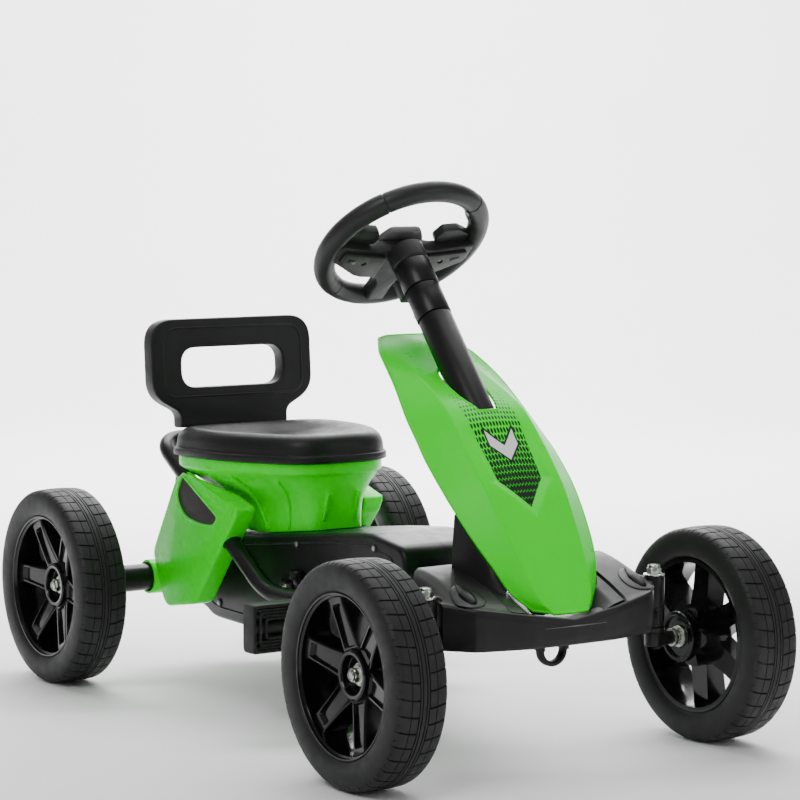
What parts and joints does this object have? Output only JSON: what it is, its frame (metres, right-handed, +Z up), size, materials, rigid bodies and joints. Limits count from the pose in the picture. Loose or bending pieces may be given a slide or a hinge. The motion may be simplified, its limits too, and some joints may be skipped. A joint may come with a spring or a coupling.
{
  "type": "pedal go kart",
  "caption": "Child's pedal go kart with foam tyres, a tubular frame, a moulded seat with backrest, chain drive to the rear axle and a steering wheel linked to the front wheels.",
  "frame": {"origin": "on the ground, midway between the axles and between the wheels", "axes": "+X forward, +Y to the driver's left, +Z up"},
  "size_m": [0.985, 0.5436, 0.6496],
  "materials": {
    "foam_tyre": "matt moulded foam with a fine open skin",
    "rim_gloss_black": "gloss black moulded plastic",
    "zinc_plate": "bright zinc plate",
    "green_shell": "gloss green moulded plastic",
    "seat_plastic": "satin black moulded plastic with a fine grain",
    "grained_insert": "dark grained plastic",
    "trim_plastic": "satin black moulded plastic",
    "grip_plastic": "satin dark grey plastic",
    "frame_paint": "black powder coat",
    "pedal_plastic": "matt black ribbed plastic",
    "bush_plastic": "plain nylon",
    "bare_steel": "bare steel, lightly oiled"
  },
  "bodies": {
    "root": {"frame_loop_tube": "frame_paint", "spine_tube": "frame_paint", "rear_axle_housing_left": "frame_paint", "rear_axle_housing_right": "frame_paint", "axle_bush_left": "bare_steel", "axle_bush_right": "bare_steel", "front_axle_beam": "frame_paint", "steering_head_tube": "frame_paint", "head_bush_upper": "bush_plastic", "head_bush_lower": "bush_plastic", "chain_case_left": "trim_plastic", "chain_case_right": "trim_plastic", "drive_chain": "bare_steel", "seat_base": "seat_plastic", "seat_housing": "green_shell", "backrest": "seat_plastic", "side_cover_left": "green_shell", "side_cover_right": "green_shell", "side_insert_left": "grained_insert", "side_insert_right": "grained_insert", "front_fairing": "green_shell", "front_bumper": "trim_plastic", "tow_loop": "trim_plastic"},
    "steering": {"steering_shaft": "bare_steel", "wheel_hub_sleeve": "frame_paint", "column_collar": "frame_paint", "steering_wheel": "grip_plastic", "wheel_centre_pad": "grip_plastic", "hub_bolt": "zinc_plate", "collar_bolt": "zinc_plate", "pitman_arm": "frame_paint"},
    "tie_rod_left": {"tie_rod_left": "zinc_plate"},
    "tie_rod_right": {"tie_rod_right": "zinc_plate"},
    "knuckle_left": {"knuckle_left": "frame_paint", "kingpin_nut_left": "zinc_plate", "wheel_nut_front_left": "zinc_plate"},
    "knuckle_right": {"knuckle_right": "frame_paint", "kingpin_nut_right": "zinc_plate", "wheel_nut_front_right": "zinc_plate"},
    "wheel_front_left": {"tyre_front_left": "foam_tyre", "wheel_rim_front_left": "rim_gloss_black", "hub_bearing_front_left": "zinc_plate"},
    "wheel_front_right": {"tyre_front_right": "foam_tyre", "wheel_rim_front_right": "rim_gloss_black", "hub_bearing_front_right": "zinc_plate"},
    "wheel_rear_left": {"tyre_rear_left": "foam_tyre", "wheel_rim_rear_left": "rim_gloss_black", "hub_bearing_rear_left": "zinc_plate"},
    "rear_axle": {"rear_axle_shaft": "bare_steel", "rear_sprocket": "bare_steel", "tyre_rear_right": "foam_tyre", "wheel_rim_rear_right": "rim_gloss_black", "wheel_nut_rear_right": "zinc_plate", "wheel_nut_rear_left": "zinc_plate"},
    "crank": {"crank_shaft": "frame_paint", "crank_sprocket": "bare_steel"},
    "pedal_left": {"pedal_left": "pedal_plastic"},
    "pedal_right": {"pedal_right": "pedal_plastic"}
  },
  "joints": [
    {"name": "steering_turn", "type": "hinge", "parent": "root", "child": "steering", "pos_m": [0.0775, 0, 0.574], "axis": [-0.6428, 0, 0.766], "range_deg": [-26, 26]},
    {"name": "tie_rod_left_swing", "type": "hinge", "parent": "steering", "child": "tie_rod_left", "pos_m": [0.33789, 0.01, 0.20767], "axis": [-0.6428, 0, 0.766], "range_deg": [-26, 26]},
    {"name": "knuckle_left_turn", "type": "hinge", "parent": "root", "child": "knuckle_left", "pos_m": [0.3675, 0.157, 0.17], "axis": [0, 0, 1], "range_deg": [-26, 26]},
    {"name": "wheel_front_left_spin", "type": "hinge", "parent": "knuckle_left", "child": "wheel_front_left", "pos_m": [0.3675, 0.239, 0.125], "axis": [0, 1, 0], "continuous": true},
    {"name": "tie_rod_right_swing", "type": "hinge", "parent": "steering", "child": "tie_rod_right", "pos_m": [0.33789, -0.01, 0.20767], "axis": [-0.6428, 0, 0.766], "range_deg": [-26, 26]},
    {"name": "knuckle_right_turn", "type": "hinge", "parent": "root", "child": "knuckle_right", "pos_m": [0.3675, -0.157, 0.17], "axis": [0, 0, 1], "range_deg": [-26, 26]},
    {"name": "wheel_front_right_spin", "type": "hinge", "parent": "knuckle_right", "child": "wheel_front_right", "pos_m": [0.3675, -0.239, 0.125], "axis": [0, 1, 0], "continuous": true},
    {"name": "rear_axle_spin", "type": "hinge", "parent": "root", "child": "rear_axle", "pos_m": [-0.3675, 0, 0.125], "axis": [0, 1, 0], "continuous": true},
    {"name": "wheel_rear_left_spin", "type": "hinge", "parent": "rear_axle", "child": "wheel_rear_left", "pos_m": [-0.3675, 0.234, 0.125], "axis": [0, 1, 0], "continuous": true},
    {"name": "crank_spin", "type": "hinge", "parent": "root", "child": "crank", "pos_m": [-0.0325, 0, 0.122], "axis": [0, 1, 0], "continuous": true},
    {"name": "pedal_left_spin", "type": "hinge", "parent": "crank", "child": "pedal_left", "pos_m": [-0.11249, 0.155, 0.1206], "axis": [0, 1, 0], "continuous": true},
    {"name": "pedal_right_spin", "type": "hinge", "parent": "crank", "child": "pedal_right", "pos_m": [0.04749, -0.155, 0.1234], "axis": [0, 1, 0], "continuous": true}
  ],
  "couplings": [
    {"joint": "tie_rod_left_swing", "follows": "steering_turn", "ratio": -1},
    {"joint": "knuckle_left_turn", "follows": "steering_turn", "ratio": 1},
    {"joint": "tie_rod_right_swing", "follows": "steering_turn", "ratio": -1},
    {"joint": "knuckle_right_turn", "follows": "steering_turn", "ratio": 1},
    {"joint": "crank_spin", "follows": "rear_axle_spin", "ratio": 0.6875}
  ]
}
